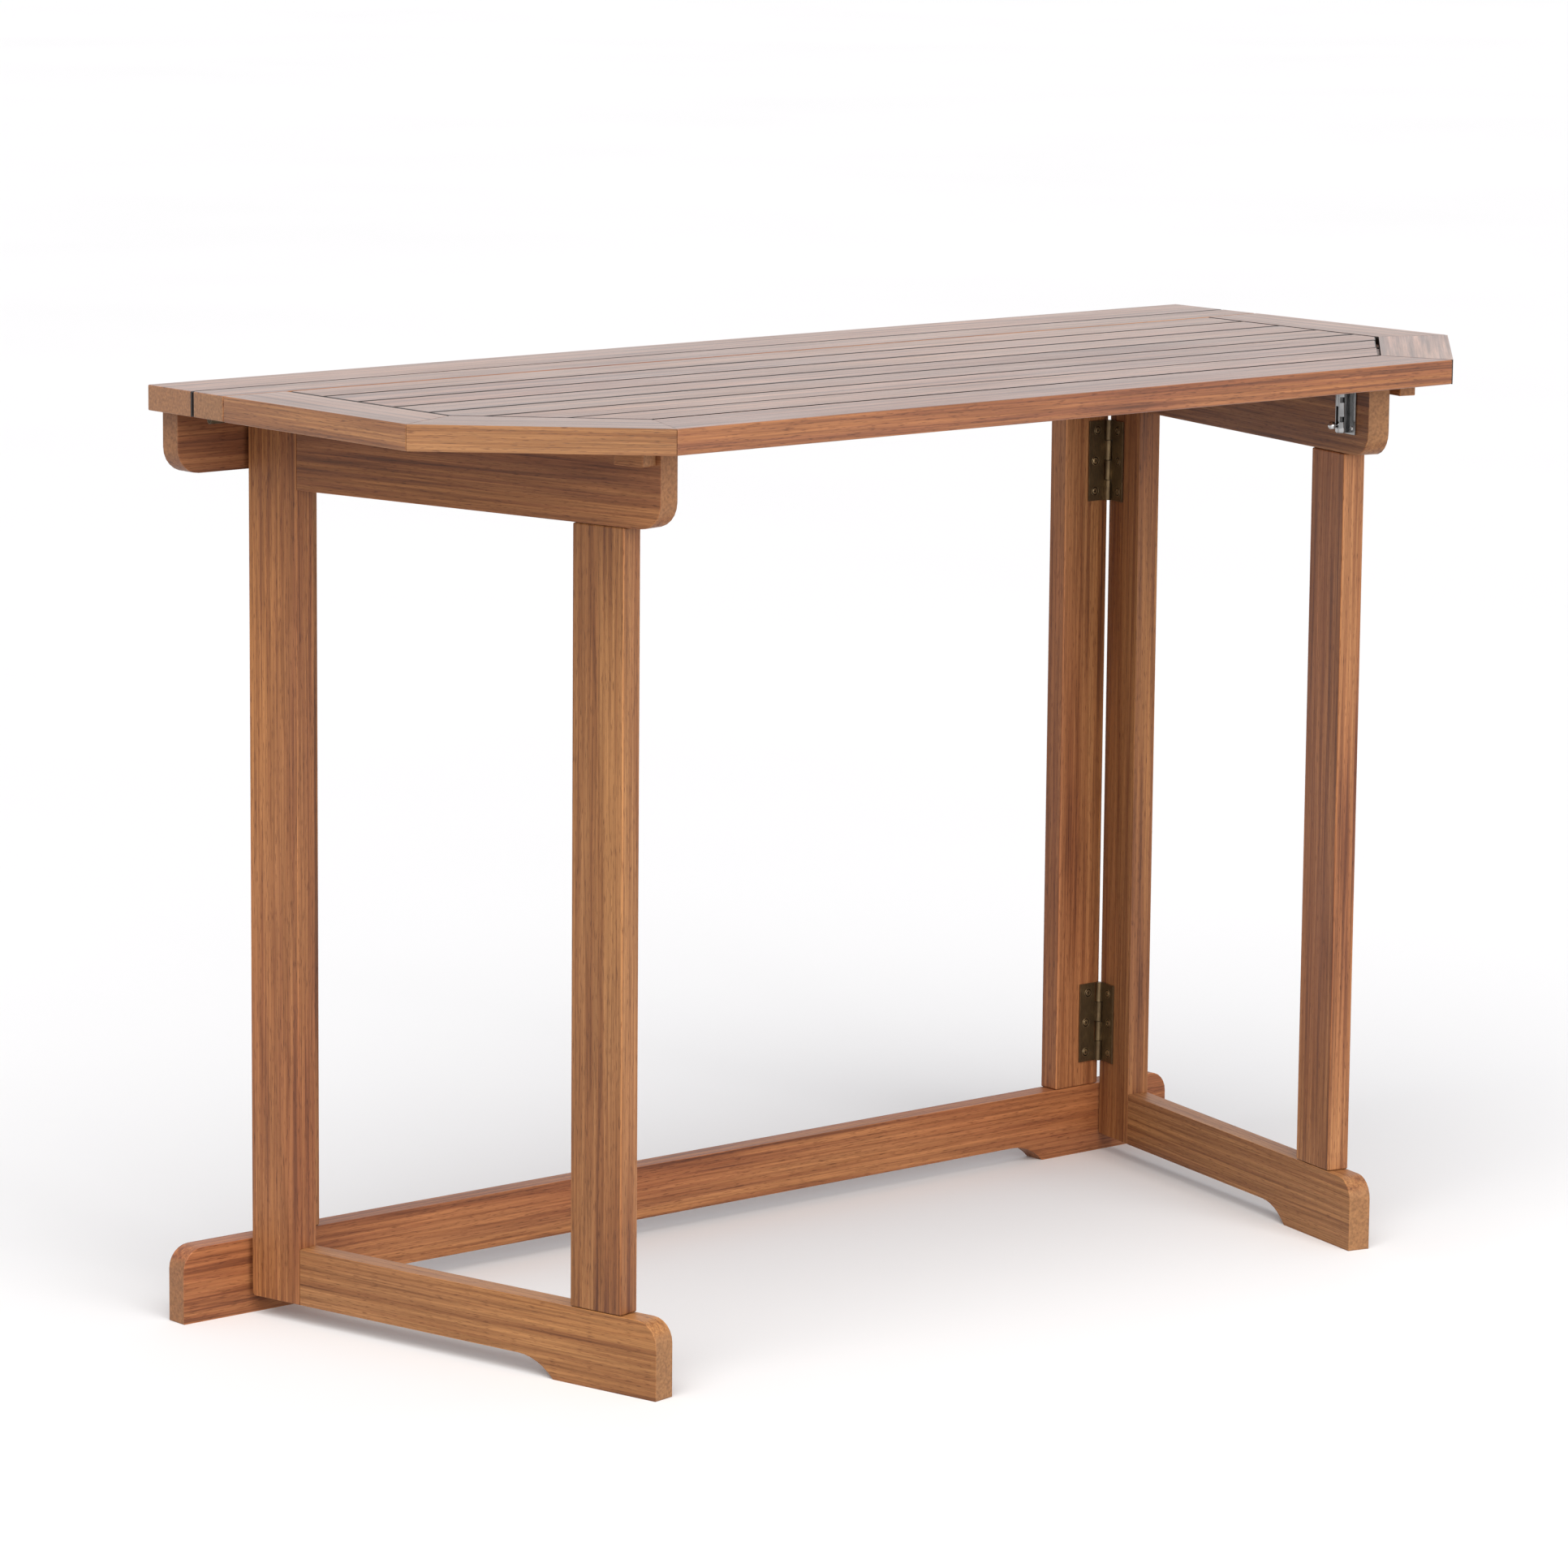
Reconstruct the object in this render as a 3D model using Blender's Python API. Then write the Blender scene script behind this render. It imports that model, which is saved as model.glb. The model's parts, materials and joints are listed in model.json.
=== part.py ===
"""Balcony gateleg table with a half-octagon top, in oiled hardwood.

A narrow strip of the top is fixed to a rear frame. The rest of the top is a leaf that hinges on the
strip and lies on two gates. Each gate swings on two butt hinges and carries a barrel bolt that locks
it to the leaf. X runs along the table, +Y points to its straight back edge, and Z is up from the
floor. The origin is on the floor under the middle of the top.
"""

import math

import bmesh
import bpy
from mathutils import Euler, Vector

# Driving dimensions, in metres.
TOP_LENGTH = 1.100
TOP_DEPTH = 0.470
TOP_HEIGHT = 0.745
BOARD = 0.020  # thickness of every board, rail and post
FIT = 0.0003  # gap between pieces that touch

# The top. Distances called "from back" are measured from its straight back edge.
STRIP_WIDTH = 0.0585
SEAM = 0.0015  # open joint between strip and leaf
BACK_RAIL_WIDTH = 0.0395
RAIL_WIDTH = 0.058  # side, corner and front rails of the leaf
CORNER_CUT = 0.141  # each 45-degree corner, along X and along Y
SLAT_COUNT = 7
SLAT_GAP = 0.003
TONGUE_LENGTH = 0.008
TONGUE_THICKNESS = 0.006
TONGUE_SHOULDER = 0.002
BATTEN_WIDTH = 0.050
BATTEN_THICKNESS = 0.010
BATTEN_FROM_BACK = (0.087, 0.400)

# The rear frame.
FRAME_HALF_LENGTH = 0.536
REAR_TOP_RAIL_HEIGHT = 0.049
REAR_POST_WIDTH = 0.050
REAR_POST_OUTER = 0.4525  # from the middle to the post's outer edge
REAR_FOOT_LENGTH = 0.149
LOW_RAIL_TOP = 0.0605  # height of the upper edge of every bottom rail
NOTCH_HEIGHT = 0.0155  # height of their lower edge between the feet
NOTCH_RUN = 0.036  # length of the curve from that edge down to a foot
END_ROUND = 0.020
FOOT_ROUND = 0.018
TENON_LENGTH = 0.018
TENON_THICKNESS = 0.008
TENON_SHOULDER = 0.007

# The gates. Along a gate, distances run from its hinge pin.
PIN_X = 0.4495
GATE_HINGE_EDGE = -0.0026
GATE_POST_WIDTH = 0.050
GATE_OUTER_POST = 0.326
GATE_LENGTH = 0.411
GATE_TOP_RAIL_HEIGHT = 0.061
GATE_FOOT_LENGTH = 0.102
POST_CORNER_ROUND = 0.003
SPLAY = {"left": 11.3, "right": 13.1}  # degrees that each open gate leans in from square
STOP_SPLAY = 11.3  # where the stop blocks hold a gate
STOP_SPAN = (0.378, 0.407)
STOP_WIDTH = 0.0155
STOP_THICKNESS = 0.0125

# The butt hinges.
KNUCKLE_RADIUS = 0.0031
KNUCKLES = 4
PIN_RADIUS = 0.0015
BORE_RADIUS = 0.0018
WING_WIDTH = 0.021
WING_THICKNESS = 0.0014
WING_SET = 0.00015  # how far a wing's outer face lies inside its knuckles' round
KNUCKLE_GAP = 0.0004
GATE_HINGE_LENGTH = 0.070
GATE_HINGE_HEIGHTS = {"upper": 0.6165, "lower": 0.1175}
SEAM_HINGE_LENGTH = 0.054
SEAM_HINGE_X = {"left": -0.507, "middle": 0.0, "right": 0.507}

# The barrel bolts.
BOLT_ALONG = 0.378
BOLT_PLATE_WIDTH = 0.030
BOLT_PLATE_HEIGHTS = (0.6805, 0.7235)
BOLT_PLATE_THICKNESS = 0.0012
BARREL_RADIUS = 0.0046
BARREL_STANDOFF = 0.0036  # from the plate's face to the rod's axis
BARREL_BORE_RADIUS = 0.0033
ROD_RADIUS = 0.0029
ROD_HEIGHTS = (0.683, 0.7225)
BOLT_TRAVEL = 0.014
KNOB_HEIGHT = 0.6875
KNOB_RADIUS = 0.0034
KNOB_REACH = 0.0090  # from the rod's axis to the knob's centre
STEM_RADIUS = 0.0012
SLOT_WIDTH = 0.0034
WINDOW_HEIGHTS = (0.6925, 0.7085)
WINDOW_TALL = 0.0046
CATCH_RADIUS = 0.0037
CATCH_CLEARANCE = 0.0015

# Round shapes.
ARC_STEPS = 6
SIDES = 20
SPHERE_RINGS = 8
OVERRUN = 0.002  # how far a cutter or a joined shape runs on

# Derived places.
BACK = TOP_DEPTH / 2
HALF_LENGTH = TOP_LENGTH / 2
UNDERSIDE = TOP_HEIGHT - BOARD
FRAME_FRONT = BACK - BOARD
LEAF_BACK = BACK - STRIP_WIDTH - SEAM
FIELD_BACK = LEAF_BACK - BACK_RAIL_WIDTH
FIELD_FRONT = -BACK + RAIL_WIDTH
FIELD_HALF = HALF_LENGTH - RAIL_WIDTH
FACE_TO_PIN = KNUCKLE_RADIUS - WING_SET + FIT
PIN_Y = FRAME_FRONT - FACE_TO_PIN
SEAM_PIN = (BACK - STRIP_WIDTH - SEAM / 2, UNDERSIDE - FACE_TO_PIN)
GATE_TOP = UNDERSIDE - FIT
GATE_TOP_RAIL_LOW = GATE_TOP - GATE_TOP_RAIL_HEIGHT
REAR_TOP_RAIL_LOW = UNDERSIDE - FIT - REAR_TOP_RAIL_HEIGHT
MITRE_RUN = RAIL_WIDTH * math.tan(math.radians(22.5))
FIELD_TURN = CORNER_CUT - BACK + MITRE_RUN  # where the slat field's sides turn in at 45 degrees
SIDES_OF_TABLE = {"left": -1, "right": 1}

WOOD = (0.42, 0.20, 0.09)
TOP_WOOD = (0.50, 0.36, 0.29)
BRASS = (0.17, 0.12, 0.06)
CHROME = (0.80, 0.80, 0.80)


def material(name, color, roughness, metallic):
    made = bpy.data.materials.new(name)
    made.use_nodes = True
    shader = made.node_tree.nodes["Principled BSDF"]
    shader.inputs["Base Color"].default_value = (*color, 1.0)
    shader.inputs["Roughness"].default_value = roughness
    shader.inputs["Metallic"].default_value = metallic
    return made


def wood(name, color=WOOD):
    return material(name + "_wood", color, 0.55, 0.0)


def brass(name):
    return material(name + "_brass", BRASS, 0.4, 1.0)


def chrome(name):
    return material(name + "_chrome", CHROME, 0.15, 1.0)


def add_object(name, shape, finish=None, parent=None):
    """Turns a bmesh into an object. One without a finish is a helper, left out of the part."""
    bmesh.ops.recalc_face_normals(shape, faces=shape.faces)
    mesh = bpy.data.meshes.new(name)
    shape.to_mesh(mesh)
    shape.free()
    made = bpy.data.objects.new(name, mesh)
    bpy.context.scene.collection.objects.link(made)
    made.parent = parent
    if finish:
        mesh.materials.append(finish)
    else:
        made.hide_render = True
        made.display_type = "WIRE"
    return made


def pivot(name, place, turn):
    made = bpy.data.objects.new(name, None)
    made.location = place
    made.rotation_euler = turn
    bpy.context.scene.collection.objects.link(made)
    return made


def prism(name, outline, axis, low, high, finish=None, parent=None):
    """A flat outline extruded along the axis it is square to, from low to high."""
    place = {
        "x": lambda a, b, w: (w, a, b),
        "y": lambda a, b, w: (a, w, b),
        "z": lambda a, b, w: (a, b, w),
    }[axis]
    shape = bmesh.new()
    face = shape.faces.new([shape.verts.new(place(a, b, low)) for a, b in outline])
    grown = bmesh.ops.extrude_face_region(shape, geom=[face])["geom"]
    moved = [part for part in grown if isinstance(part, bmesh.types.BMVert)]
    bmesh.ops.translate(shape, vec=Vector(place(0, 0, high - low)), verts=moved)
    return add_object(name, shape, finish, parent)


def block(name, x, y, z, finish=None, parent=None):
    """A box from the low and high value on each axis."""
    outline = [(x[0], y[0]), (x[1], y[0]), (x[1], y[1]), (x[0], y[1])]
    return prism(name, outline, "z", z[0], z[1], finish, parent)


def rod(name, centre, radius, axis, low, high, finish=None, parent=None):
    outline = arc(centre, radius, 0, 360 - 360 / SIDES, SIDES - 1)
    made = prism(name, outline, axis, low, high, finish, parent)
    smooth(made)
    return made


def smooth(made):
    made.data.shade_smooth()
    made.data.set_sharp_from_angle(angle=math.radians(40))


def arc(centre, radius, start, end, steps=ARC_STEPS):
    """Points on a circle, between two angles in degrees."""
    points = []
    for step in range(steps + 1):
        angle = math.radians(start + (end - start) * step / steps)
        points.append((centre[0] + radius * math.cos(angle), centre[1] + radius * math.sin(angle)))
    return points


def combine(made, other, operation):
    """Adds a Boolean that cuts or joins a helper shape."""
    modifier = made.modifiers.new(other.name, "BOOLEAN")
    modifier.object = other
    modifier.operation = operation
    modifier.solver = "EXACT"


def cut(made, *cutters):
    for cutter in cutters:
        combine(made, cutter, "DIFFERENCE")


def join(made, *additions):
    for addition in additions:
        combine(made, addition, "UNION")


def grown(span, by):
    return (span[0] - by, span[1] + by)


def between(centre, width):
    return (centre - width / 2, centre + width / 2)


# Frames


def mortise_and_tenon(tenoned, mortised, axis, shoulder, direction, across, depth, parent=None):
    """Joins two boards: a tenon grows from the shoulder line of one into a mortise in the other.

    The tenon runs along x or z in the given direction, and across spans the other of the two.
    """
    thickness = between(sum(depth) / 2, TENON_THICKNESS)
    across = grown(across, -TENON_SHOULDER)
    tip = shoulder + direction * TENON_LENGTH
    tenon_span = sorted((shoulder - direction * OVERRUN, tip))
    mortise_span = sorted((shoulder - direction * OVERRUN, tip + direction * FIT))
    for made, span, spare, joins in (
        (tenoned, tenon_span, 0, True),
        (mortised, mortise_span, FIT, False),
    ):
        wide, thick = grown(across, spare), grown(thickness, spare)
        x, z = (span, wide) if axis == "x" else (wide, span)
        kind = "tenon" if joins else "mortise"
        helper = block(f"{tenoned.name}_{kind}_{mortised.name}", x, thick, z, parent=parent)
        (join if joins else cut)(made, helper)


def foot_curve(corner, outward):
    """The underside's curve beside a foot, from the rail's lower edge to the foot's inner corner."""
    radius = (NOTCH_RUN**2 + NOTCH_HEIGHT**2) / (2 * NOTCH_HEIGHT)
    swing = math.degrees(math.asin(NOTCH_RUN / radius))
    centre = (corner - outward * NOTCH_RUN, NOTCH_HEIGHT - radius)
    return arc(centre, radius, 90, 90 - outward * swing)


def rear_frame():
    depth = (FRAME_FRONT, BACK)
    half, low, radius = FRAME_HALF_LENGTH, REAR_TOP_RAIL_LOW, END_ROUND
    outline = [(-half, UNDERSIDE - FIT)]
    outline += arc((radius - half, low + radius), radius, 180, 270)
    outline += arc((half - radius, low + radius), radius, 270, 360)
    outline.append((half, UNDERSIDE - FIT))
    top_rail = prism("rear_top_rail", outline, "y", *depth, wood("rear_top_rail"))

    corner, high, radius = half - REAR_FOOT_LENGTH, LOW_RAIL_TOP, FOOT_ROUND
    outline = [(-half, 0)]
    outline += reversed(foot_curve(-corner, -1))
    outline += foot_curve(corner, 1)
    outline.append((half, 0))
    outline += arc((half - radius, high - radius), radius, 0, 90)
    outline += arc((radius - half, high - radius), radius, 90, 180)
    bottom_rail = prism("rear_bottom_rail", outline, "y", *depth, wood("rear_bottom_rail"))

    for side, sign in SIDES_OF_TABLE.items():
        name = f"rear_post_{side}"
        x = between(sign * (REAR_POST_OUTER - REAR_POST_WIDTH / 2), REAR_POST_WIDTH)
        z = (LOW_RAIL_TOP + FIT, REAR_TOP_RAIL_LOW - FIT)
        post = block(name, x, depth, z, wood(name))
        mortise_and_tenon(post, top_rail, "z", z[1], 1, x, depth)
        mortise_and_tenon(post, bottom_rail, "z", z[0], -1, x, depth)


def gate_pivot(side, splay, name):
    """An empty on the gate's hinge axis, with X along the gate and Z up."""
    sign = SIDES_OF_TABLE[side]
    return pivot(name, (sign * PIN_X, PIN_Y, 0), (0, 0, math.radians(-90 - sign * splay)))


def gate_point(side, splay, along, out):
    """World X and Y of a point on a gate, out from the plane of its hinge pin."""
    sign, lean = SIDES_OF_TABLE[side], math.radians(splay)
    x = PIN_X - along * math.sin(lean) + out * math.cos(lean)
    return (sign * x, PIN_Y - along * math.cos(lean) - out * math.sin(lean))


def gate(side):
    sign = SIDES_OF_TABLE[side]
    parent = gate_pivot(side, SPLAY[side], f"{side}_gate_pivot")
    depth = sorted((sign * FACE_TO_PIN, sign * (FACE_TO_PIN + BOARD)))
    prefix = f"{side}_gate"

    edge, inner = GATE_HINGE_EDGE, GATE_HINGE_EDGE + GATE_POST_WIDTH
    radius = POST_CORNER_ROUND
    outline = [(edge, GATE_TOP)]
    outline += arc((edge + radius, NOTCH_HEIGHT + radius), radius, 180, 270, 3)
    outline += [(inner, NOTCH_HEIGHT), (inner, GATE_TOP)]
    name = f"{prefix}_hinge_post"
    hinge_post = prism(name, outline, "y", *depth, wood(name), parent)

    start, end, low, radius = inner + FIT, GATE_LENGTH, GATE_TOP_RAIL_LOW, END_ROUND
    outline = [(start, GATE_TOP), (start, low)]
    outline += arc((end - radius, low + radius), radius, 270, 360)
    outline.append((end, GATE_TOP))
    name = f"{prefix}_top_rail"
    top_rail = prism(name, outline, "y", *depth, wood(name), parent)

    radius = FOOT_ROUND
    outline = [(start, LOW_RAIL_TOP), (start, NOTCH_HEIGHT)]
    outline += foot_curve(end - GATE_FOOT_LENGTH, 1)
    outline.append((end, 0))
    outline += arc((end - radius, LOW_RAIL_TOP - radius), radius, 0, 90)
    name = f"{prefix}_bottom_rail"
    bottom_rail = prism(name, outline, "y", *depth, wood(name), parent)

    x = (GATE_OUTER_POST, GATE_OUTER_POST + GATE_POST_WIDTH)
    z = (LOW_RAIL_TOP + FIT, GATE_TOP_RAIL_LOW - FIT)
    name = f"{prefix}_outer_post"
    outer_post = block(name, x, depth, z, wood(name), parent)

    mortise_and_tenon(outer_post, top_rail, "z", z[1], 1, x, depth, parent)
    mortise_and_tenon(outer_post, bottom_rail, "z", z[0], -1, x, depth, parent)
    top_span, low_span = (GATE_TOP_RAIL_LOW, GATE_TOP), (NOTCH_HEIGHT, LOW_RAIL_TOP)
    mortise_and_tenon(top_rail, hinge_post, "x", start, -1, top_span, depth, parent)
    mortise_and_tenon(bottom_rail, hinge_post, "x", start, -1, low_span, depth, parent)
    return parent


# Top


def top_strip():
    y = (BACK - STRIP_WIDTH, BACK)
    z = (UNDERSIDE, TOP_HEIGHT)
    block("top_strip", (-HALF_LENGTH, HALF_LENGTH), y, z, wood("top_strip", TOP_WOOD))


def field_half_length(y, inset):
    """Half the length of the slat field at y, inset from the rails' inner edges."""
    return min(FIELD_HALF - inset, FIELD_HALF + y - FIELD_TURN - inset * math.sqrt(2))


def field_outline(back, front, inset):
    """A slice of the slat field between two lines along X, with its ends inset from the rails."""
    kink = FIELD_TURN + inset * (math.sqrt(2) - 1)
    levels = [back] + ([kink] if front < kink < back else []) + [front]
    right = [(field_half_length(y, inset), y) for y in levels]
    return right + [(-x, y) for x, y in reversed(right)]


def leaf_rail(name, outer, inner, groove):
    """A mitred rail between two outer and two inner corners, shortened to clear its neighbours."""
    along = (Vector(outer[1]) - Vector(outer[0])).normalized() * FIT / 2
    corners = [Vector(outer[0]) + along, Vector(outer[1]) - along]
    corners += [Vector(inner[1]) - along, Vector(inner[0]) + along]
    outline = [tuple(corner) for corner in corners]
    made = prism(name, outline, "z", UNDERSIDE, TOP_HEIGHT, wood(name, TOP_WOOD))
    if groove:
        cut(made, groove)


def leaf_frame():
    name = "leaf_back_rail"
    y = (FIELD_BACK, LEAF_BACK)
    z = (UNDERSIDE, TOP_HEIGHT)
    block(name, (-HALF_LENGTH, HALF_LENGTH), y, z, wood(name, TOP_WOOD))

    middle = (UNDERSIDE + TOP_HEIGHT) / 2
    slot = grown(between(middle, TONGUE_THICKNESS), FIT)
    outline = field_outline(FIELD_BACK - FIT, FIELD_FRONT, -TONGUE_LENGTH - FIT)
    groove = prism("slat_groove", outline, "z", *slot)

    start = FIELD_BACK - FIT / 2
    turn, front = CORNER_CUT - BACK, -BACK  # the outer edge turns in at 45 degrees too
    for side, sign in SIDES_OF_TABLE.items():
        outer = [(sign * HALF_LENGTH, start), (sign * HALF_LENGTH, turn)]
        outer.append((sign * (HALF_LENGTH - CORNER_CUT), front))
        inner = [(sign * FIELD_HALF, start), (sign * FIELD_HALF, FIELD_TURN)]
        inner.append((sign * (HALF_LENGTH - CORNER_CUT - MITRE_RUN), FIELD_FRONT))
        leaf_rail(f"leaf_side_rail_{side}", outer[:2], inner[:2], groove)
        leaf_rail(f"leaf_corner_rail_{side}", outer[1:], inner[1:], groove)
    outer = [(-outer[2][0], front), (outer[2][0], front)]
    inner = [(-inner[2][0], FIELD_FRONT), (inner[2][0], FIELD_FRONT)]
    leaf_rail("leaf_front_rail", outer, inner, None)


def leaf_slats():
    pitch = (FIELD_BACK - FIELD_FRONT - SLAT_GAP) / SLAT_COUNT
    middle = (UNDERSIDE + TOP_HEIGHT) / 2
    for number in range(SLAT_COUNT):
        name = f"leaf_slat_{number + 1}"
        back = FIELD_BACK - SLAT_GAP - number * pitch
        front = back - (pitch - SLAT_GAP)
        outline = field_outline(back, front, SLAT_GAP)
        slat = prism(name, outline, "z", UNDERSIDE, TOP_HEIGHT, wood(name, TOP_WOOD))
        span = (back - TONGUE_SHOULDER, front + TONGUE_SHOULDER)
        outline = field_outline(*span, -TONGUE_LENGTH)
        tongue = prism(f"{name}_tongue", outline, "z", *between(middle, TONGUE_THICKNESS))
        join(slat, tongue)
    catch_top = ROD_HEIGHTS[1] + BOLT_TRAVEL + CATCH_CLEARANCE
    for side in SIDES_OF_TABLE:
        centre = gate_point(side, SPLAY[side], BOLT_ALONG, rod_axis_out())
        heights = (UNDERSIDE - OVERRUN, catch_top)
        cut(slat, rod(f"{side}_bolt_catch", centre, CATCH_RADIUS, "z", *heights))


def leaf_fittings():
    z = (UNDERSIDE - FIT - BATTEN_THICKNESS, UNDERSIDE - FIT)
    y = (BACK - BATTEN_FROM_BACK[1], BACK - BATTEN_FROM_BACK[0])
    block("leaf_batten", between(0, BATTEN_WIDTH), y, z, wood("leaf_batten"))
    out = (FACE_TO_PIN + BOARD + FIT, FACE_TO_PIN + BOARD + FIT + STOP_WIDTH)
    for side in SIDES_OF_TABLE:
        name = f"gate_stop_{side}"
        places = [(a, o) for a, o in zip(STOP_SPAN, out)] + [(STOP_SPAN[0], out[1])]
        places.insert(1, (STOP_SPAN[1], out[0]))
        outline = [gate_point(side, STOP_SPLAY, along, o) for along, o in places]
        z = (UNDERSIDE - FIT - STOP_THICKNESS, UNDERSIDE - FIT)
        prism(name, outline, "z", *z, wood(name))


# Hinges


def hinge_half(name, length, middle, wing, face, first, parent, turned=None):
    """One wing of a butt hinge with its knuckles. The pin is the parent's Z axis.

    wing is the side along X that it extends to, face the side along Y that it is screwed to, and
    first tells whether it has the first knuckle from the top, or the second.
    """
    pitch = length / KNUCKLES
    top = middle + length / 2
    outline = [(wing * WING_WIDTH, top - length), (wing * WING_WIDTH, top)]
    clear = wing * (KNUCKLE_RADIUS + KNUCKLE_GAP)
    own = []
    for number in range(KNUCKLES):
        high, low = top - number * pitch, top - (number + 1) * pitch
        mine = (number % 2 == 0) == first
        high -= KNUCKLE_GAP / 2 if mine and number else 0
        low += KNUCKLE_GAP / 2 if mine and number < KNUCKLES - 1 else 0
        high += KNUCKLE_GAP / 2 if not mine and number else 0
        low -= KNUCKLE_GAP / 2 if not mine and number < KNUCKLES - 1 else 0
        reach = 0 if mine else clear
        outline += [(reach, high), (reach, low)]
        if mine:
            own.append((low, high))
    outer = face * (KNUCKLE_RADIUS - WING_SET)
    depth = sorted((outer, outer - face * WING_THICKNESS))
    half = prism(name, outline, "y", *depth, brass(name), parent)
    for number, (low, high) in enumerate(own):
        join(half, rod(f"{name}_knuckle_{number}", (0, 0), KNUCKLE_RADIUS, "z", low, high, parent=parent))
    ends = grown((top - length, top), OVERRUN)
    cut(half, rod(f"{name}_bore", (0, 0), BORE_RADIUS, "z", *ends, parent=parent))
    return half


def hinge_pin(name, length, middle, parent):
    return rod(name, (0, 0), PIN_RADIUS, "z", *between(middle, length), brass(name), parent)


def gate_hinges(side, gate_parent):
    sign = SIDES_OF_TABLE[side]
    frame_parent = pivot(f"{side}_frame_pin", (sign * PIN_X, PIN_Y, 0), (0, 0, 0))
    for level, middle in GATE_HINGE_HEIGHTS.items():
        prefix = f"{side}_{level}_hinge"
        size = (GATE_HINGE_LENGTH, middle)
        hinge_half(f"{prefix}_gate_wing", *size, 1, sign, True, gate_parent)
        hinge_half(f"{prefix}_frame_wing", *size, -sign, 1, False, frame_parent)
        hinge_pin(f"{prefix}_pin", *size, frame_parent)


def seam_hinges():
    turn = Euler((math.radians(90), 0, math.radians(90)))
    for place, x in SEAM_HINGE_X.items():
        prefix = f"seam_hinge_{place}"
        parent = pivot(f"{prefix}_axis", (x, *SEAM_PIN), turn)
        size = (SEAM_HINGE_LENGTH, 0)
        hinge_half(f"{prefix}_strip_wing", *size, 1, 1, True, parent)
        hinge_half(f"{prefix}_leaf_wing", *size, -1, 1, False, parent)
        hinge_pin(f"{prefix}_pin", *size, parent)


# Bolts


def rod_axis_out():
    """The bolt rod's axis, out from the plane of the gate's hinge pin."""
    return FACE_TO_PIN - FIT - BOLT_PLATE_THICKNESS - BARREL_STANDOFF


def barrel_bolt(side, parent):
    sign = SIDES_OF_TABLE[side]
    centre = (BOLT_ALONG, sign * rod_axis_out())
    low, high = BOLT_PLATE_HEIGHTS

    name = f"{side}_bolt_housing"
    plate_back = sign * (FACE_TO_PIN - FIT)
    depth = sorted((plate_back, plate_back - sign * BOLT_PLATE_THICKNESS))
    x = between(BOLT_ALONG, BOLT_PLATE_WIDTH)
    housing = block(name, x, depth, (low, high), chrome(name), parent)
    heights = grown((low, high), -SLOT_WIDTH / 4)
    join(housing, rod(f"{side}_barrel", centre, BARREL_RADIUS, "z", *heights, parent=parent))
    behind = sorted((plate_back, plate_back + sign * BARREL_RADIUS * 2))
    tall = grown((low, high), OVERRUN)
    cut(housing, block(f"{side}_plate_back", grown(x, OVERRUN), behind, tall, parent=parent))
    ends = grown((low, high), OVERRUN)
    cut(housing, rod(f"{side}_barrel_bore", centre, BARREL_BORE_RADIUS, "z", *ends, parent=parent))

    crest = sorted((centre[1], centre[1] - sign * BARREL_RADIUS * 1.5))
    slot = (KNOB_HEIGHT - SLOT_WIDTH / 2, KNOB_HEIGHT + BOLT_TRAVEL + SLOT_WIDTH / 2)
    cut(housing, block(f"{side}_slot", between(BOLT_ALONG, SLOT_WIDTH), crest, slot, parent=parent))
    flank = (BOLT_ALONG + ROD_RADIUS, BOLT_ALONG + BARREL_RADIUS * 1.2)
    for number, height in enumerate(WINDOW_HEIGHTS):
        window = between(height, WINDOW_TALL)
        cut(housing, block(f"{side}_window_{number}", flank, crest, window, parent=parent))

    name = f"{side}_bolt_rod"
    shaft = rod(name, centre, ROD_RADIUS, "z", *ROD_HEIGHTS, chrome(name), parent)
    place = (BOLT_ALONG, KNOB_HEIGHT)
    socket = sorted((centre[1], centre[1] - sign * ROD_RADIUS * 1.5))
    cut(shaft, rod(f"{side}_socket", place, STEM_RADIUS + FIT, "y", *socket, parent=parent))

    name = f"{side}_bolt_knob"
    ball = bmesh.new()
    bmesh.ops.create_uvsphere(ball, u_segments=SIDES - 4, v_segments=SPHERE_RINGS, radius=KNOB_RADIUS)
    reach = centre[1] - sign * KNOB_REACH
    bmesh.ops.translate(ball, vec=(BOLT_ALONG, reach, KNOB_HEIGHT), verts=ball.verts)
    knob = add_object(name, ball, chrome(name), parent)
    smooth(knob)
    stem = sorted((centre[1] - sign * FIT, reach))
    join(knob, rod(f"{side}_stem", place, STEM_RADIUS, "y", *stem, parent=parent))


def main():
    for old in list(bpy.data.objects):
        bpy.data.objects.remove(old)
    rear_frame()
    top_strip()
    leaf_frame()
    leaf_slats()
    leaf_fittings()
    seam_hinges()
    for side in SIDES_OF_TABLE:
        parent = gate(side)
        gate_hinges(side, parent)
        barrel_bolt(side, parent)


main()
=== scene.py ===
"""The looks of the balcony gateleg table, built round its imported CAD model."""

import json
import math
import random

import bmesh
import bpy
from mathutils import Matrix, Vector


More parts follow.
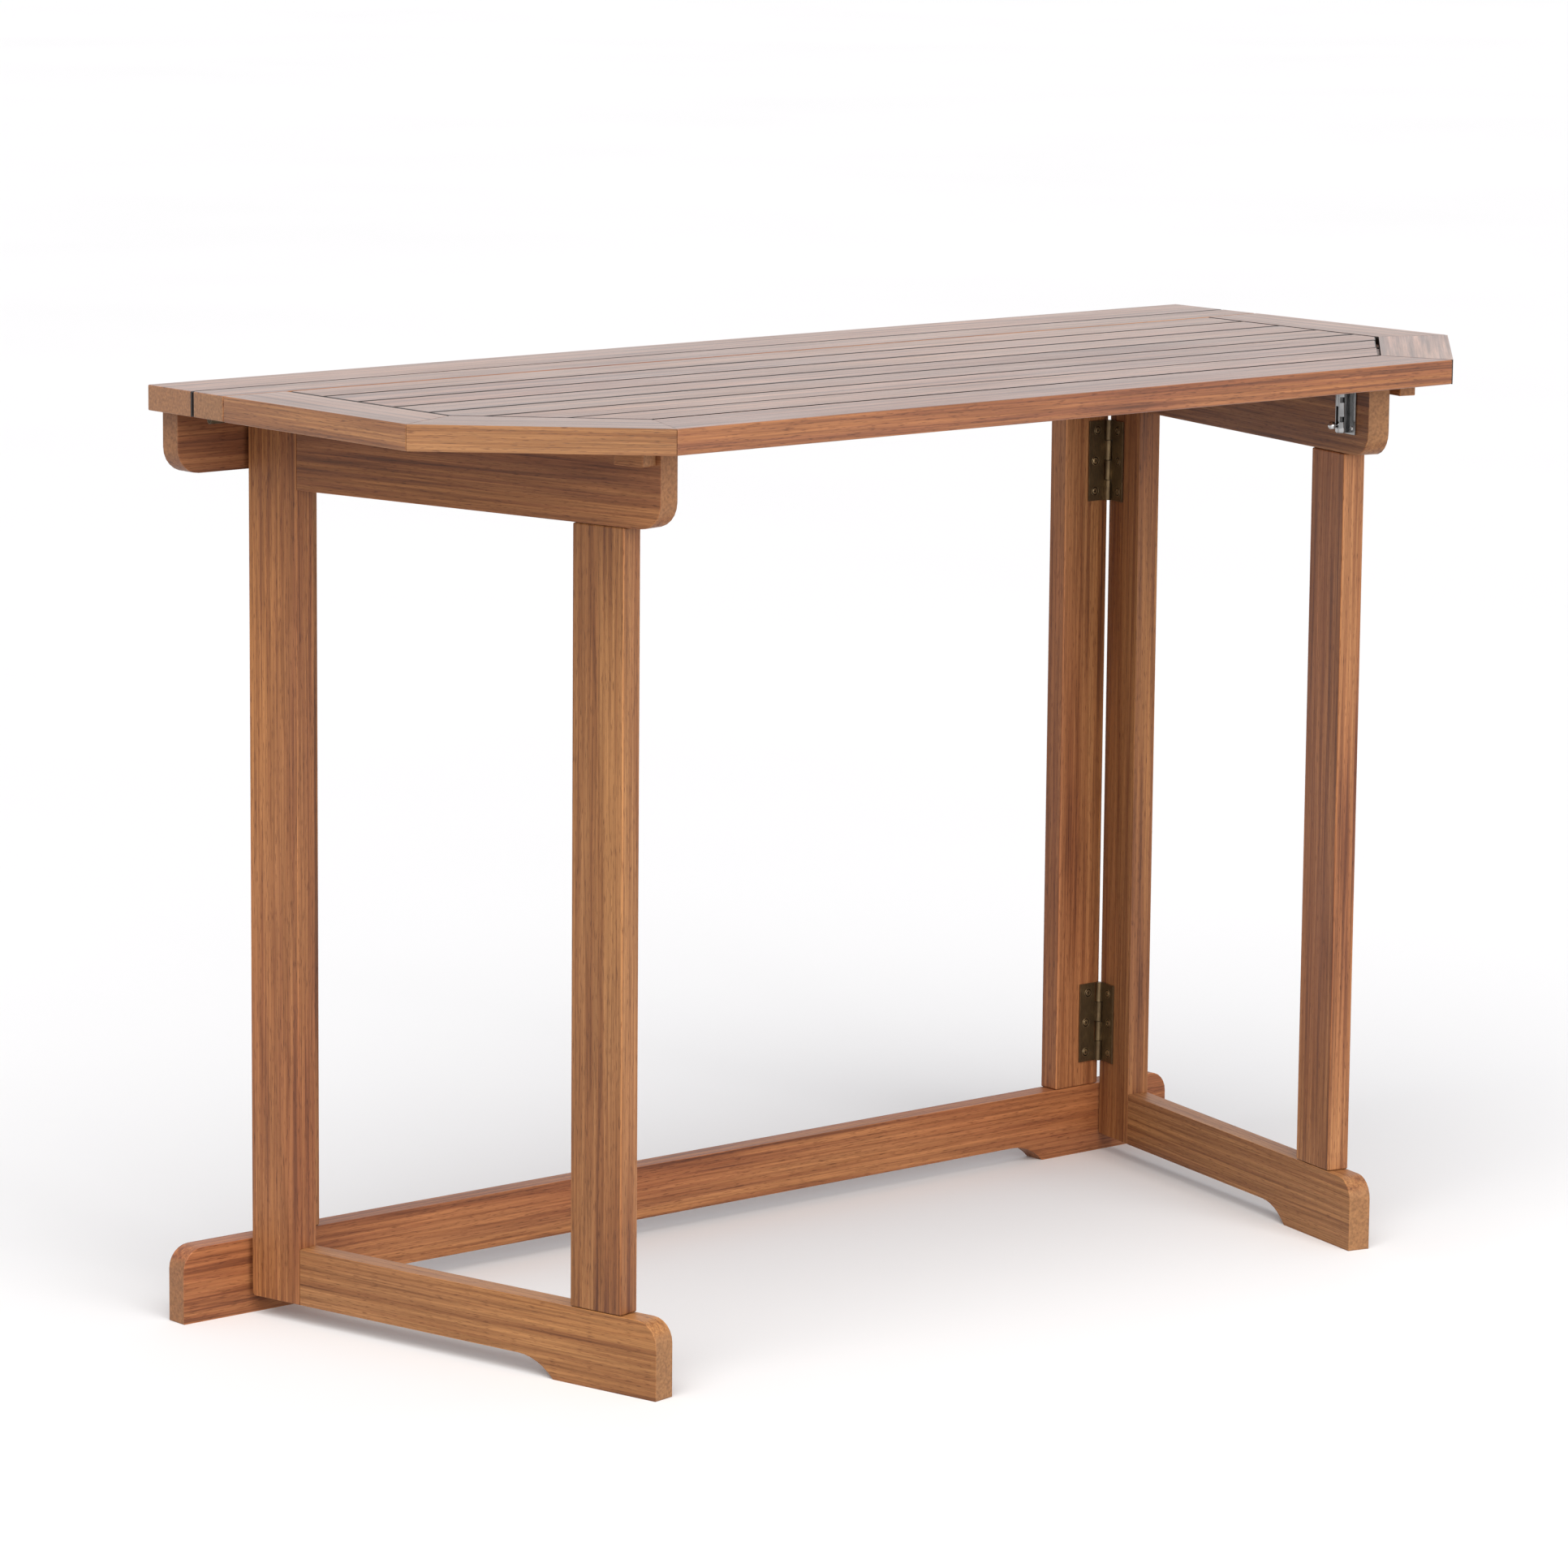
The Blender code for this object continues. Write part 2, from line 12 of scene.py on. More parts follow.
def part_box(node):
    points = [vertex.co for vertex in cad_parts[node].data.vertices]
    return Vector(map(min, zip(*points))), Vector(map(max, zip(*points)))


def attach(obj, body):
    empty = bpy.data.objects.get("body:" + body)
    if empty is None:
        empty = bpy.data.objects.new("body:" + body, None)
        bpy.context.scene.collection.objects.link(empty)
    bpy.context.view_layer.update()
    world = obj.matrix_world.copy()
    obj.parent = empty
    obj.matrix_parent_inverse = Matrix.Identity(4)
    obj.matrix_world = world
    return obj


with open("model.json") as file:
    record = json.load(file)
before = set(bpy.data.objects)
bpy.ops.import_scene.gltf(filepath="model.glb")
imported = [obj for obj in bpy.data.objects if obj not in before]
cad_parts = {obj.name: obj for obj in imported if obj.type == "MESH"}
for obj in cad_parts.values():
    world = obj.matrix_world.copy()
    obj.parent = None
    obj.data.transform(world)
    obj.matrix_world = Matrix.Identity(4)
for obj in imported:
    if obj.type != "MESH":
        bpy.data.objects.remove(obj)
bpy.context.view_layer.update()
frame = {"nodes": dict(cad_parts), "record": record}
NODES = frame["nodes"]
JOINTS = {joint["name"]: joint for joint in frame["record"]["behaviour"]["joints"]}
SIDES = {"left": -1, "right": 1}
SPLAY = {"left": 11.3, "right": 13.1}  # degrees that each open gate leans in from square
UP = Vector((0, 0, 1))

# The camera, solved from the table's own corners. Angles are in radians.
CAMERA_PLACE = (-3.41318, -3.85771, 1.29462)
CAMERA_AZIMUTH = 0.70943
CAMERA_ELEVATION = -0.17090
CAMERA_ROLL = 0.00890
CAMERA_LENS = 148.635
CAMERA_REACH = 1000
SENSOR = 36.0

# Wood: a board's place in its log, in metres, with X along the grain and the heart at Y = Z = 0.
LOG_ALONG = (-3, 3)
LOG_ACROSS = (-0.03, 0.03)
LOG_OFFSET = (0.035, 0.11)
HEART_WANDER = 0.045
RING_PITCH = 0.0042
RING_PITCH_SPREAD = (0.8, 1.35)
RING_RIPPLE = 0.0042
RINGS_IN_BAND = 5.7

# Wood: colours, and how much a board's warmth shifts them.
PALE_WOOD, PALE_SHIFT = (0.50, 0.240, 0.099), (0, 0.014, 0.007)
MID_WOOD, MID_SHIFT = (0.355, 0.150, 0.060), (0, 0.009, 0)
DARK_WOOD = (0.165, 0.061, 0.027)
# The top's grey haze of use, with painted sheen standing in for its glossy reflection at a low view.
WORN_HAZE_AND_SHEEN = (0.215, 0.168, 0.164)
# Painted highlight: paler wood along the boards' arrises.
PAINTED_ARRIS_HIGHLIGHT = (1.40, 1.38, 1.30)
# Painted shade: near black on the faces that look into the gaps between top boards.
GAP_SHADE = (0.012, 0.007, 0.005)
TOP_ROUGHNESS = 0.34
FRAME_ROUGHNESS = 0.50

# How light or dark each board is, if it differs from the rest.
PLAIN_TINT = 0.95
BOARD_TINTS = {
    "left_gate_hinge_post": 0.95,
    "left_gate_outer_post": 0.86,
    "left_gate_top_rail": 0.80,
    "left_gate_bottom_rail": 0.80,
    "right_gate_bottom_rail": 0.77,
    # The right gate's hinge post is darkened as painted shade, for its inner face deep under the top.
    "right_gate_hinge_post": 0.76,
    "right_gate_top_rail": 0.80,
    "rear_bottom_rail": 1.02,
    "rear_post_right": 0.96,
    "rear_top_rail": 0.86,
    "leaf_corner_rail_left": 0.76,
    "leaf_front_rail": 0.74,
}

# How golden (+) or red (-) each board is, if it isn't left to chance.
BOARD_WARMTH = {"leaf_front_rail": -2.2, "leaf_corner_rail_left": 0.8, "left_gate_outer_post": 0.8}

# Random seeds. A board's is its number in the sorted list plus these, unless it's named here.
BOARD_SEED = 500
TINT_SEED = 100
METAL_SEED = 40
BOARD_SEEDS = {"leaf_side_rail_left": 611}

# Rounded edges: width in metres, steps, and the least angle in degrees that is rounded.
BOARD_ARRIS = (0.0014, 3, 35.0)
HINGE_ARRIS = (0.00035, 2, 40.0)
BOLT_ARRIS = (0.00018, 2, 40.0)
WELD_DISTANCE = 0.00001
SHARP_ANGLE = 35.0

# Screws. A head stands SCREW_RISE proud of the plate's face and starts at SCREW_SUNK, under it.
SCREW_SIDES = 24
SCREW_RISE = 0.0004
SCREW_SUNK = -0.0003
HINGE_SCREW_RADIUS = 0.0028
SEAM_SCREW_RADIUS = 0.0026
BOLT_SCREW_RADIUS, BOLT_SCREW_RISE = 0.0018, 0.0006
# SINK_RADIUS sizes the burr round each hinge screw; a dark disc inside it, SINK_RISE proud of the plate,
# is painted shade for the shadowed countersink.
SINK_RADIUS = 0.0041
SINK_RISE = 0.00007

# Hinges, as the CAD model has them.
FIT = 0.0003
KNUCKLE_RADIUS = 0.0031
WING_WIDTH = 0.021
WING_THICKNESS = 0.0014
WING_SET = 0.00015  # how far a wing's outer face lies inside its knuckles' round
SCREW_INSETS = {1: 0.0094, 0: 0.0073, -1: 0.0073}  # from the wing's edge, upper to lower
SCREW_PITCH = 0.0265
SEAM_SCREW_HALF_PITCH = 0.018
SEAM_SCREW_FROM_PIN = 0.0125
SEAM_SCREW_LIFT = 0.00155  # from the pin's axis up to the wings' lower faces

# Bolts, as the CAD model has them, measured from the gate's pin along the gate and out of its face.
BOLT_ALONG = 0.378
BOLT_AXIS_OUT = -0.00185
GATE_FACE_OUT = 0.00325
PLATE_THICKNESS = 0.0012
BOLT_SCREW_SPREAD = 0.0103
BOLT_SCREW_HEIGHTS = (0.6858, 0.7178)
STRAP_HEIGHTS = (0.6838, 0.7205)
STRAP_TALL = 0.0030
STRAP_STEPS = 14
BARREL_RADIUS = 0.0046
STRAP_OUTER, STRAP_INNER = BARREL_RADIUS + 0.00045, BARREL_RADIUS - 0.0003

# Studio light.
SKY_LIGHT = 0.40
SKY_IN_REFLECTIONS = 1.15
SKY_SEEN = 0.97
SKY_COLOR, SKY_REFLECTED_COLOR = (0.97, 0.98, 1.05), (1.0, 0.975, 0.965)
SUN_POWER = 2.9
SUN_FROM = (-0.85, -1.0, 1.5)
SUN_SPREAD = 70
SUN_COLOR = (1.0, 0.985, 0.96)
FRONT_LIGHT_PLACE, FRONT_LIGHT_TARGET = (-0.2, -3.8, 1.3), (0, 0, 0.45)
FRONT_LIGHT_SIZE = (2.0, 1.2)
FRONT_LIGHT_POWER = 48
FLOOR_HALF_SIZE = 400.0
FLOOR_PAINT = 0.90
FLOOR_BOUNCE = (0.48, 0.47, 0.49)

WHITE = (1.0, 1.0, 1.0)


# Node helpers


def grey(value):
    return (value, value, value)


def scaled(color, factor):
    return tuple(channel * factor for channel in color)


class Graph:
    """A node tree, with a short way to add each kind of node that is used here."""

    def __init__(self, tree):
        self.tree = tree

    def add(self, kind):
        return self.tree.nodes.new(f"ShaderNode{kind}")

    def link(self, source, socket):
        self.tree.links.new(source, socket)

    def coordinates(self, kind):
        return self.add("TexCoord").outputs[kind]

    def moved(self, source, rotation, location):
        made = self.add("Mapping")
        made.inputs["Rotation"].default_value = rotation
        made.inputs["Location"].default_value = location
        self.link(source, made.inputs["Vector"])
        return made.outputs["Vector"]

    def noise(self, place, scale, detail=3.0, roughness=0.5):
        """Noise with one scale, or a tuple of one for each axis."""
        if isinstance(scale, tuple):
            stretch = self.add("Mapping")
            stretch.inputs["Scale"].default_value = scale
            self.link(place, stretch.inputs["Vector"])
            place, scale = stretch.outputs["Vector"], 1.0
        made = self.add("TexNoise")
        made.inputs["Scale"].default_value = scale
        made.inputs["Detail"].default_value = detail
        made.inputs["Roughness"].default_value = roughness
        self.link(place, made.inputs["Vector"])
        return made.outputs["Fac"]

    def compute(self, operation, *values):
        made = self.add("Math")
        made.operation = operation
        for socket, value in zip(made.inputs, values):
            if isinstance(value, (int, float)):
                socket.default_value = value
            else:
                self.link(value, socket)
        return made.outputs[0]

    def ramp(self, source, stops):
        """Colours by position, from the first of the stops to the last."""
        made = self.add("ValToRGB")
        band = made.color_ramp
        for element, (position, color) in ((band.elements[0], stops[0]), (band.elements[-1], stops[-1])):
            element.position, element.color = position, (*color, 1.0)
        for position, color in stops[1:-1]:
            band.elements.new(position).color = (*color, 1.0)
        self.link(source, made.inputs["Fac"])
        return made.outputs["Color"]

    def mix(self, kind, amount, first, second):
        made = self.add("Mix")
        made.data_type = "RGBA"
        made.blend_type = kind
        factor, first_color, second_color = (made.inputs[index] for index in (0, 6, 7))
        for socket, value in ((factor, amount), (first_color, first), (second_color, second)):
            if isinstance(value, (int, float)):
                socket.default_value = value
            elif isinstance(value, tuple):
                socket.default_value = (*value, 1.0)
            else:
                self.link(value, socket)
        return made.outputs[2]

    def facing(self, normal, direction, low, high):
        """1 where the surface faces a direction, falling to 0 as it turns away."""
        dot = self.add("VectorMath")
        dot.operation = "DOT_PRODUCT"
        self.link(normal, dot.inputs[0])
        dot.inputs[1].default_value = direction
        fade = self.add("MapRange")
        fade.interpolation_type = "SMOOTHSTEP"
        fade.inputs["From Min"].default_value = low
        fade.inputs["From Max"].default_value = high
        self.link(dot.outputs["Value"], fade.inputs["Value"])
        return fade.outputs["Result"]

    def bump(self, height, shader, strength, distance):
        made = self.add("Bump")
        made.inputs["Strength"].default_value = strength
        made.inputs["Distance"].default_value = distance
        self.link(height, made.inputs["Height"])
        self.link(made.outputs["Normal"], shader.inputs["Normal"])


def new_material(name):
    made = bpy.data.materials.new(name)
    made.use_nodes = True
    return made, Graph(made.node_tree), made.node_tree.nodes["Principled BSDF"]


# Wood


def log_place(graph, axes, centre, draw):
    """Coordinates in a log for a board whose axes lie along, across and out of its broad face."""
    turn = Matrix(axes)
    shift = Vector((draw.uniform(*LOG_ALONG), draw.uniform(*LOG_ACROSS), draw.uniform(*LOG_OFFSET)))
    return graph.moved(graph.coordinates("Object"), turn.to_euler(), shift - turn @ Vector(centre))


def growth_rings(graph, place, pitch):
    """The log's rings, by distance from a wandering heart line, and broader bands of years."""
    wander = graph.noise(place, (1.3, 7, 7), 2.0)
    wander = graph.compute("MULTIPLY_ADD", wander, HEART_WANDER, -HEART_WANDER / 2)
    ripple = graph.noise(place, (9, 60, 60))
    ripple = graph.compute("MULTIPLY_ADD", ripple, RING_RIPPLE, -RING_RIPPLE / 2)
    parts = graph.add("SeparateXYZ")
    graph.link(place, parts.inputs[0])
    across = graph.compute("ADD", parts.outputs["Y"], wander)
    across = graph.compute("MULTIPLY", across, across)
    deep = graph.compute("MULTIPLY", parts.outputs["Z"], parts.outputs["Z"])
    radius = graph.compute("ADD", graph.compute("SQRT", graph.compute("ADD", across, deep)), ripple)
    phase = graph.compute("FRACT", graph.compute("DIVIDE", radius, pitch))
    levels = ((0.0, 0.28), (0.10, 0.62), (0.55, 0.80), (0.86, 0.66), (1.0, 0.28))
    rings = graph.ramp(phase, [(position, grey(level)) for position, level in levels])
    years = graph.compute("SINE", graph.compute("DIVIDE", radius, pitch * RINGS_IN_BAND))
    return rings, graph.compute("ADD", years, graph.noise(place, (0.6, 30, 30), 2.0))


def grain_color(graph, place, rings, years, streak, fibre_tint, pores, tones):
    """Streaks between the dark, middle and pale tones, darkened by rings, fibres and open pores."""
    dark, mid, pale = tones
    blotch = graph.noise(place, (2.5, 14, 14), 2.0)
    tone = graph.compute("SUBTRACT", graph.compute("MULTIPLY_ADD", streak, 1.60, -0.345), 0.38)
    tone = graph.compute("MULTIPLY_ADD", blotch, 0.80, tone)
    color = graph.ramp(tone, [(0.12, dark), (0.34, mid), (0.62, pale), (0.90, scaled(pale, 1.12))])
    ring_tint = graph.ramp(rings, [(0.25, (0.58, 0.46, 0.38)), (0.80, WHITE)])
    color = graph.mix("MULTIPLY", 0.55, color, ring_tint)
    year_tint = graph.ramp(years, [(0.0, (0.84, 0.74, 0.66)), (1.0, WHITE)])
    color = graph.mix("MULTIPLY", 0.55, color, year_tint)
    color = graph.mix("MULTIPLY", 0.85, color, fibre_tint)
    pore_tint = graph.ramp(pores, [(0.0, (0.42, 0.34, 0.30)), (1.0, WHITE)])
    color = graph.mix("MULTIPLY", 0.75, color, pore_tint)
    heart = graph.noise(place, (1.6, 9, 9), 1.0)
    heart_stops = [(0.36, (0.90, 0.76, 0.74)), (0.50, grey(0.98)), (0.64, (1.12, 1.12, 0.98))]
    return graph.mix("MULTIPLY", 0.8, color, graph.ramp(heart, heart_stops))


def painted_arris_highlights(graph, normal, color, y_axis, z_axis, both_faces):
    """Painted highlight: paler wood on the arrises along the grain, or only on those of the face opposite
    Z.
    """

    def turned_to(direction):
        return graph.facing(normal, direction, 0.15, 0.50)

    sides = graph.compute("MAXIMUM", turned_to(y_axis), turned_to(-y_axis))
    faces = turned_to(-z_axis)
    if both_faces:
        faces = graph.compute("MAXIMUM", faces, turned_to(z_axis))
    # Painted highlight: this mask pales the arrises.
    rubbed = graph.compute("MULTIPLY", graph.compute("MULTIPLY", sides, faces), 0.8)
    return graph.mix("MULTIPLY", rubbed, color, PAINTED_ARRIS_HIGHLIGHT)


def sawn_ends(graph, place, normal, color, x_axis, fresh):
    """Speckled end grain on the faces that look along the grain."""
    speckle = graph.noise(place, (60, 420, 420))
    sawn = graph.ramp(speckle, [(0.34, scaled(fresh, 0.46)), (0.66, scaled(fresh, 0.80))])
    for direction in (x_axis, -x_axis):
        end = graph.compute("MULTIPLY", graph.facing(normal, direction, 0.80, 0.97), 0.78)
        color = graph.mix("MIX", end, color, sawn)
    return color


def worn_haze_and_sheen(graph, normal, color, streak, fibre_tint):
    """The grey haze of use on the face that looks up, with painted sheen: a paler, greyer colour for the
    glossy reflection there.
    """
    haze = graph.mix("MIX", 0.66, color, WORN_HAZE_AND_SHEEN)
    haze_tint = graph.ramp(streak, [(0.36, (0.58, 0.54, 0.53)), (0.60, (1.24, 1.20, 1.22))])
    haze = graph.mix("MULTIPLY", 0.85, haze, haze_tint)
    haze = graph.mix("MULTIPLY", 0.60, haze, fibre_tint)
    return graph.mix("MIX", graph.facing(normal, UP, 0.75, 0.97), color, haze)


def wood(name, along, face_normal, centre, seed, tint, warm, top, shaded_gap_sides):
    """Oiled hardwood whose grain runs along a direction, sawn from its own place in a log.

    A board of the top is worn to a grey haze with painted sheen, and the last argument lists the
    directions of faces that look into gaps, which get painted shade.
    """
    draw = random.Random(seed)
    made, graph, shader = new_material(name)
    x_axis = Vector(along).normalized()
    z_axis = (Vector(face_normal) - x_axis * x_axis.dot(Vector(face_normal))).normalized()
    y_axis = z_axis.cross(x_axis)
    place = log_place(graph, (x_axis, y_axis, z_axis), centre, draw)
    rings, years = growth_rings(graph, place, RING_PITCH * draw.uniform(*RING_PITCH_SPREAD))
    fibre = graph.noise(place, (9, 720, 720), 3.0, 0.6)
    fibre_tint = graph.ramp(fibre, [(0.30, (0.60, 0.54, 0.48)), (0.68, (1.24, 1.22, 1.18))])
    streak = graph.noise(place, (3.2, 210, 210), 4.0, 0.62)
    pores = graph.ramp(graph.noise(place, (105, 1400, 1400), 1.0), [(0.30, grey(0.0)), (0.41, WHITE)])

    pale = tuple((level + shift * warm) * tint for level, shift in zip(PALE_WOOD, PALE_SHIFT))
    mid = tuple((level + shift * warm) * tint for level, shift in zip(MID_WOOD, MID_SHIFT))
    tones = (scaled(DARK_WOOD, tint), mid, pale)
    color = grain_color(graph, place, rings, years, streak, fibre_tint, pores, tones)
    normal = graph.coordinates("Normal")
    # Painted highlight on the arrises.
    color = painted_arris_highlights(graph, normal, color, y_axis, z_axis, both_faces=not top)
    color = sawn_ends(graph, place, normal, color, x_axis, scaled(pale, 1 / tint))
    # The top's worn haze, with painted sheen.
    if top:
        color = worn_haze_and_sheen(graph, normal, color, streak, fibre_tint)
    # Painted shade on the faces that look into the gaps between boards.
    for direction in shaded_gap_sides:
        color = graph.mix("MIX", graph.facing(normal, direction, 0.05, 0.30), color, GAP_SHADE)
    graph.link(color, shader.inputs["Base Color"])

    smudge = graph.noise(place, (6, 22, 22), 4.0)
    roughness = TOP_ROUGHNESS if top else FRAME_ROUGHNESS
    rough = graph.compute("MULTIPLY_ADD", smudge, 0.16, roughness - 0.03)
    rough = graph.compute("MULTIPLY_ADD", fibre, -0.10, rough)
    graph.link(rough, shader.inputs["Roughness"])
    shader.inputs["Specular IOR Level"].default_value = 0.5 if top else 0.36

    height = graph.compute("MULTIPLY", fibre, 0.5)
    height = graph.compute("MULTIPLY_ADD", rings, 0.35, height)
    height = graph.compute("MULTIPLY_ADD", pores, 0.5, height)
    graph.bump(height, shader, 0.28, 0.0004)
    return made


# Metals


def metal_place(graph, seed):
    """Object coordinates, moved to a random place in the noise."""
    draw = random.Random(seed)
    return graph.moved(graph.coordinates("Object"), (0, 0, 0), [draw.uniform(-9, 9) for _ in range(3)])


def brass(name, seed, shade):
    """Brass with a dark bronze patina, rubbed through to bright metal here and there."""
    made, graph, shader = new_material(name)
    place = metal_place(graph, seed)
    cloud = graph.noise(place, 60.0)
    grain = graph.noise(place, (900, 900, 160), 2.0)
    patina, bronze, bright = (0.120, 0.083, 0.045), (0.170, 0.118, 0.062), (0.290, 0.205, 0.105)
    stops = ((0.30, patina), (0.56, bronze), (0.80, bright))
    color = graph.ramp(cloud, [(position, scaled(tone, shade)) for position, tone in stops])
    grain_tint = graph.ramp(grain, [(0.3, grey(0.8)), (0.7, grey(1.1))])
    graph.link(graph.mix("MULTIPLY", 0.8, color, grain_tint), shader.inputs["Base Color"])
    graph.link(graph.compute("MULTIPLY_ADD", cloud, -0.20, 0.50), shader.inputs["Roughness"])
    shader.inputs["Metallic"].default_value = 0.85
    graph.bump(grain, shader, 0.25, 0.0002)
    return made


def chrome(name, seed, shade):
    """Plated steel with faint polishing marks and smudges."""
    made, graph, shader = new_material(name)
    place = metal_place(graph, seed)
    marks = graph.noise(place, (1400, 1400, 120), 2.0)
    smudge = graph.noise(place, 140.0)
    color = graph.ramp(smudge, [(0.3, grey(shade * 0.82)), (0.7, grey(shade))])
    graph.link(color, shader.inputs["Base Color"])
    graph.link(graph.compute("MULTIPLY_ADD", smudge, 0.10, 0.08), shader.inputs["Roughness"])
    shader.inputs["Metallic"].default_value = 1.0
    graph.bump(marks, shader, 0.12, 0.0001)
    return made


# CAD nodes


def set_material(thing, finish):
    thing.data.materials.clear()
    thing.data.materials.append(finish)


def ease_edges(thing, width, steps, angle):
    """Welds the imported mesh's split corners and rounds its arrises, with flat faces kept flat."""
    weld = thing.modifiers.new("weld", "WELD")
    weld.merge_threshold = WELD_DISTANCE
    bevel = thing.modifiers.new("arris", "BEVEL")
    bevel.width = width
    bevel.segments = steps
    bevel.limit_method = "ANGLE"
    bevel.angle_limit = math.radians(angle)
    bevel.use_clamp_overlap = True
    bevel.miter_outer = "MITER_ARC"
    flat = thing.modifiers.new("flat_faces", "WEIGHTED_NORMAL")
    flat.mode = "FACE_AREA"
    flat.weight = 100
    flat.keep_sharp = True
    thing.data.shade_smooth()


def gate_axes(side):
    """Unit vectors along a gate at rest and out of its outer face."""
    sign, lean = SIDES[side], math.radians(SPLAY[side])
    along = Vector((-sign * math.sin(lean), -math.cos(lean), 0))
    out = Vector((sign * math.cos(lean), -math.sin(lean), 0))
    return along, out


def board_directions():
    """For each wooden node: its grain's direction and its broad face's normal."""
    x, y, z = Vector((1, 0, 0)), Vector((0, 1, 0)), UP
    boards = {
        "top_strip": (x, z),
        "rear_top_rail": (x, y),
        "rear_bottom_rail": (x, y),
        "rear_post_left": (z, y),
        "rear_post_right": (z, y),
        "leaf_back_rail": (x, z),
        "leaf_front_rail": (x, z),
        "leaf_batten": (y, z),
    }
    for side, sign in SIDES.items():
        along, out = gate_axes(side)
        boards[f"leaf_side_rail_{side}"] = (y, z)
        boards[f"leaf_corner_rail_{side}"] = (Vector((1, sign, 0)), z)
        boards[f"gate_stop_{side}"] = (along, z)
        boards[f"{side}_gate_hinge_post"] = (z, out)
        boards[f"{side}_gate_outer_post"] = (z, out)
        boards[f"{side}_gate_top_rail"] = (along, out)
        boards[f"{side}_gate_bottom_rail"] = (along, out)
    for number in range(1, 8):
        boards[f"leaf_slat_{number}"] = (x, z)
    return boards


def node_centre(name):
    low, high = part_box(name)
    return (Vector(low) + Vector(high)) / 2


def gap_sides(name):
    """Directions of a top board's faces that look into a gap, which get painted shade."""
    half = math.sqrt(0.5)
    if "slat" in name:
        return [(0, 1, 0), (0, -1, 0), (1, 0, 0), (-1, 0, 0)]
    return {
        "top_strip": [(0, -1, 0)],
        "leaf_back_rail": [(0, 1, 0)],
        "leaf_front_rail": [(0, 1, 0)],
        "leaf_side_rail_left": [(1, 0, 0)],
        "leaf_side_rail_right": [(-1, 0, 0)],
        "leaf_corner_rail_left": [(half, half, 0)],
        "leaf_corner_rail_right": [(-half, half, 0)],
    }.get(name, [])


def finish_boards():
    for number, (name, (along, normal)) in enumerate(sorted(board_directions().items())):
        draw = random.Random(TINT_SEED + number)
        tint = draw.uniform(0.95, 1.05) * BOARD_TINTS.get(name, PLAIN_TINT)
        warm = BOARD_WARMTH.get(name, draw.uniform(-1, 1))
        top = name == "top_strip" or name.startswith("leaf_") and name != "leaf_batten"
        seed = BOARD_SEEDS.get(name, BOARD_SEED + number)
        centre = node_centre(name)
        finish = wood(f"{name}_wood", along, normal, centre, seed, tint, warm, top, gap_sides(name))
        set_material(NODES[name], finish)
        ease_edges(NODES[name], *BOARD_ARRIS)


def finish_metal():
    for number, name in enumerate(sorted(NODES)):
        if "hinge_" in name and "hinge_post" not in name:
            # The seam hinges are darkened as painted shade, for the shade under the leaf.
            shade = 0.5 if name.startswith("seam") else 1.0
            set_material(NODES[name], brass(f"{name}_brass", METAL_SEED + number, shade))
            ease_edges(NODES[name], *HINGE_ARRIS)
        if "_bolt_" in name:
            # The bolts' chrome is darkened as painted shade, for the dark surroundings it reflects; the
            # rod, near black, is painted shade in the barrel's windows.
            shade = 0.05 if name.endswith("rod") else 0.55 if name.endswith("knob") else 0.30
            set_material(NODES[name], chrome(f"{name}_chrome", METAL_SEED + number, shade))
            ease_edges(NODES[name], *BOLT_ARRIS)


# New pieces


def mesh_piece(name, shape, finish, body):
    bmesh.ops.recalc_face_normals(shape, faces=shape.faces)
    mesh = bpy.data.meshes.new(name)
    shape.to_mesh(mesh)
    shape.free()
    mesh.shade_smooth()
    mesh.set_sharp_from_angle(angle=math.radians(SHARP_ANGLE))
    made = bpy.data.objects.new(name, mesh)
    bpy.context.scene.collection.objects.link(made)
    mesh.materials.append(finish)
    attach(made, body)


def head_matrix(centre, out, up):
    """Axes of a screw head: Z out of the surface, Y as near up as it goes."""
    z_axis = Vector(out).normalized()
    x_axis = Vector(up).cross(z_axis).normalized()
    turn = Matrix((x_axis, z_axis.cross(x_axis), z_axis)).transposed().to_4x4()
    return Matrix.Translation(Vector(centre)) @ turn


def circle(radius):
    angles = [2 * math.pi * i / SCREW_SIDES for i in range(SCREW_SIDES)]
    return [(radius * math.cos(angle), radius * math.sin(angle)) for angle in angles]


def add_ring(shape, place, points, height):
    return [shape.verts.new(place @ Vector((x, y, height))) for x, y in points]


def add_walls(shape, low, high):
    """Faces between two rings of as many points."""
    for i in range(len(low)):
        j = (i + 1) % len(low)
        shape.faces.new((low[i], low[j], high[j], high[i]))


def add_crossed_face(shape, circle_ring, cross, cross_ring):
    """The face round a recess: one strip of triangles from a circle's ring to the cross's."""
    order = [(2 * math.pi * i / SCREW_SIDES, "out", i) for i in range(SCREW_SIDES)]
    order += [(math.atan2(y, x) % (2 * math.pi), "in", i) for i, (x, y) in enumerate(cross)]
    order.sort()
    last = {kind: index for _, kind, index in order}
    for _, kind, i in order:
        step = circle_ring[i] if kind == "out" else cross_ring[i]
        shape.faces.new((circle_ring[last["out"]], step, cross_ring[last["in"]]))
        last[kind] = i


